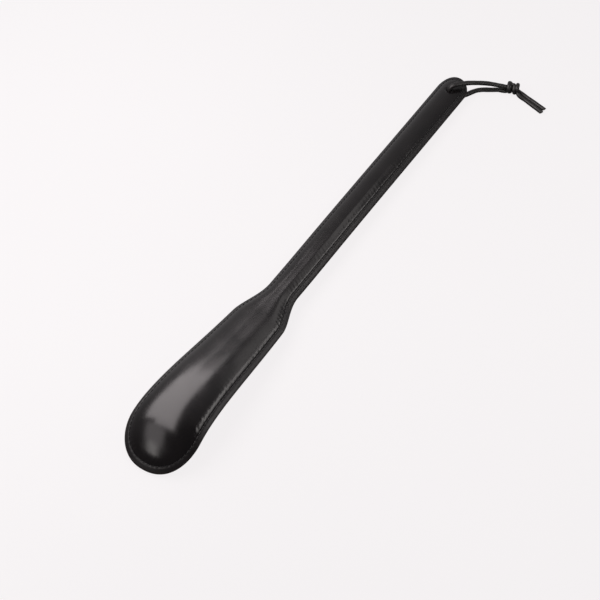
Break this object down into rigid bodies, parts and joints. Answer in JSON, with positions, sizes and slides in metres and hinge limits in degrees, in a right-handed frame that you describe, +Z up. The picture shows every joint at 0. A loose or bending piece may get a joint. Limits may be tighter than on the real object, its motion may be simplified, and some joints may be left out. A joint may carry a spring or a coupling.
{
  "type": "long shoehorn",
  "caption": "Long-handled leather shoehorn with a domed blade, stitched all round, with a knotted thong through the handle's end for hanging it up.",
  "frame": {"origin": "on the surface that the shoehorn lies on, under the middle of the two sewn leathers' box", "axes": "+X runs along the shoehorn from the blade's tip to the handle's end, +Z points up out of the arched face, +Y is across it, away from the side the thong lies on"},
  "size_m": [0.4216, 0.0895, 0.0276],
  "materials": {
    "face_leather": "smooth black calf leather, polished, semi-gloss",
    "back_leather": "smooth black calf leather, satin",
    "core": "rolled spring steel strip, plain",
    "thread": "waxed black polyester sewing thread",
    "thong": "round black leather lace, matt-satin"
  },
  "bodies": {
    "shoehorn": {"face_leather": "face_leather", "back_leather": "back_leather", "core_blank": "core", "needle_thread": "thread", "bobbin_thread": "thread"},
    "thong": {"thong_loop": "thong", "thong_knot": "thong", "thong_tail_outer": "thong", "thong_tail_inner": "thong"}
  },
  "joints": [
    {"name": "thong_swing", "type": "hinge", "parent": "shoehorn", "child": "thong", "pos_m": [0.1842, 0, 0.009], "axis": [0, 0, 1], "range_deg": [-90, 160]}
  ]
}
